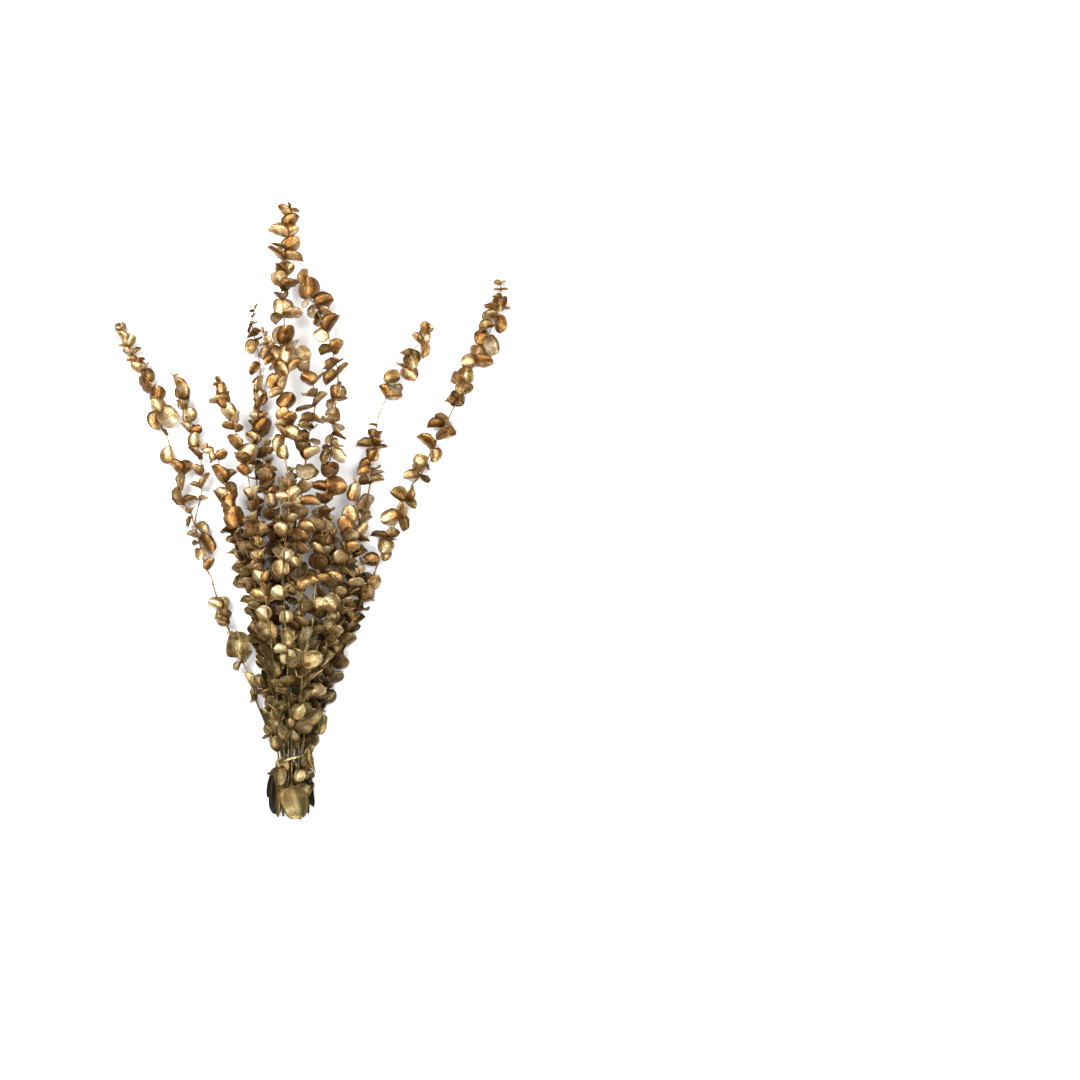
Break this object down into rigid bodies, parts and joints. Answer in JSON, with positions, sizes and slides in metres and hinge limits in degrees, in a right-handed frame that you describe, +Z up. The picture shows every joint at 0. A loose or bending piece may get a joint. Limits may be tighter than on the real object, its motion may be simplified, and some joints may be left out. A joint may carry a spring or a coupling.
{
  "type": "preserved eucalyptus bunch",
  "caption": "Tied bunch of preserved, gold-painted eucalyptus stems with small round opposite leaves, fanned out and lying flat.",
  "frame": {"origin": "middle of the bunch's box, on the surface it lies on", "axes": "+Y along the bunch from the cut ends to the tips, +Z up from the surface"},
  "size_m": [0.4504, 0.6997, 0.1001],
  "materials": {
    "gilded_stem": "preserved plant under metallic gold paint, satin, with dark specks and olive patches",
    "tie_strand": "thin cord under the same gold paint"
  },
  "bodies": {
    "root": {"stem_far_left": "gilded_stem", "stem_left_slender": "gilded_stem", "stem_left_short": "gilded_stem", "stem_centre_left": "gilded_stem", "stem_centre": "gilded_stem", "stem_tallest": "gilded_stem", "stem_right_tall": "gilded_stem", "stem_right": "gilded_stem", "stem_right_short": "gilded_stem", "stem_far_right": "gilded_stem", "stem_inner_left": "gilded_stem", "stem_inner_short": "gilded_stem", "stem_inner_centre": "gilded_stem", "stem_low_left": "gilded_stem", "stem_low_right": "gilded_stem", "stem_low_centre": "gilded_stem", "tie_strand": "tie_strand"}
  },
  "joints": []
}
